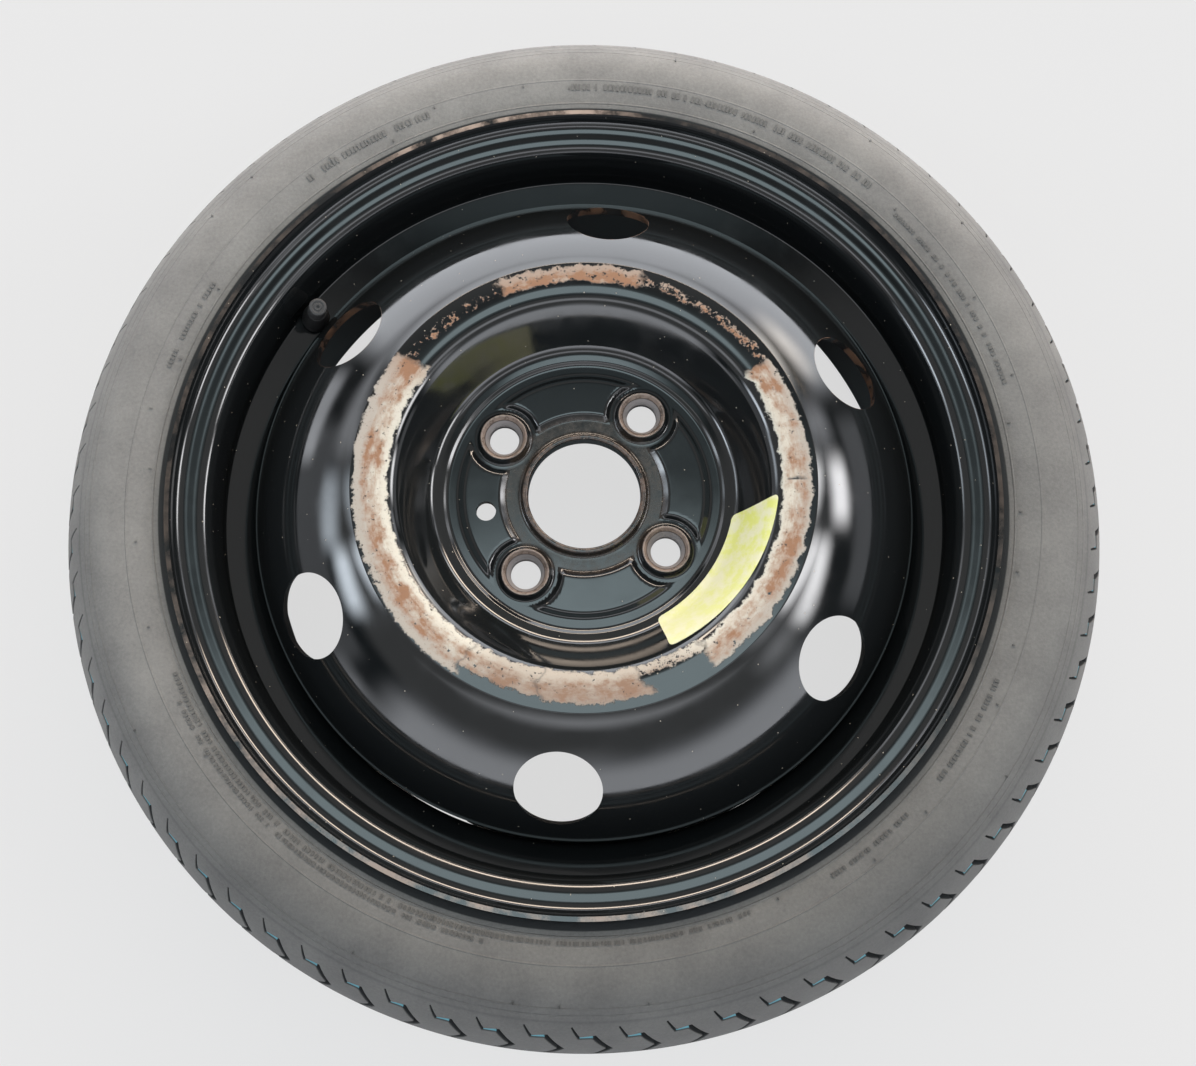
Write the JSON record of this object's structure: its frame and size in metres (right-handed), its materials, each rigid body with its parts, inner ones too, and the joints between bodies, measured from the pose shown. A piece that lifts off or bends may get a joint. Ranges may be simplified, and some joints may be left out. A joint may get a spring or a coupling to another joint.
{
  "type": "space saver spare wheel",
  "caption": "Narrow temporary tyre on a black pressed steel wheel with a dished centre, round vents, bolt holes and a snap-in valve.",
  "frame": {"origin": "on the wheel's axis, at the face that sits against the hub", "axes": "+Z along the wheel's axis, pointing outboard; +X and +Y in the plane of the wheel"},
  "size_m": [0.542, 0.542, 0.1399],
  "materials": {
    "tyre_rubber": "dusty grey moulded rubber",
    "black_enamel": "gloss black enamel on pressed steel, rusty on the crest and edges",
    "painted_weld": "rippled weld bead under black enamel",
    "label_film": "pale yellow film, bare",
    "valve_rubber": "matt black moulded rubber",
    "brass": "turned brass",
    "gasket": "moulded sealing ring",
    "spring_steel": "drawn spring wire",
    "cap_plastic": "ribbed black plastic, greyed by handling"
  },
  "bodies": {
    "wheel": {"tyre": "tyre_rubber", "rim": "black_enamel", "wheel_disc": "black_enamel", "disc_welds": "painted_weld", "label": "label_film", "valve_body": "valve_rubber", "valve_stem": "brass", "core_plug": "brass", "core_barrel": "brass", "core_gasket": "gasket", "core_spring": "spring_steel"},
    "cap": {"valve_cap": "cap_plastic"},
    "plunger": {"core_pin": "brass", "core_cup": "brass", "core_seal": "valve_rubber"}
  },
  "joints": [
    {"name": "cap_lift", "type": "slide", "parent": "wheel", "child": "cap", "axis": [0.2224, -0.1628, 0.9613], "range_m": [0, 0.02]},
    {"name": "pin_press", "type": "slide", "parent": "wheel", "child": "plunger", "axis": [-0.2224, 0.1628, -0.9613], "range_m": [0, 0.0012], "stiffness_N_per_m": 800, "springref_m": -0.001, "deforming": ["core_spring"]}
  ]
}
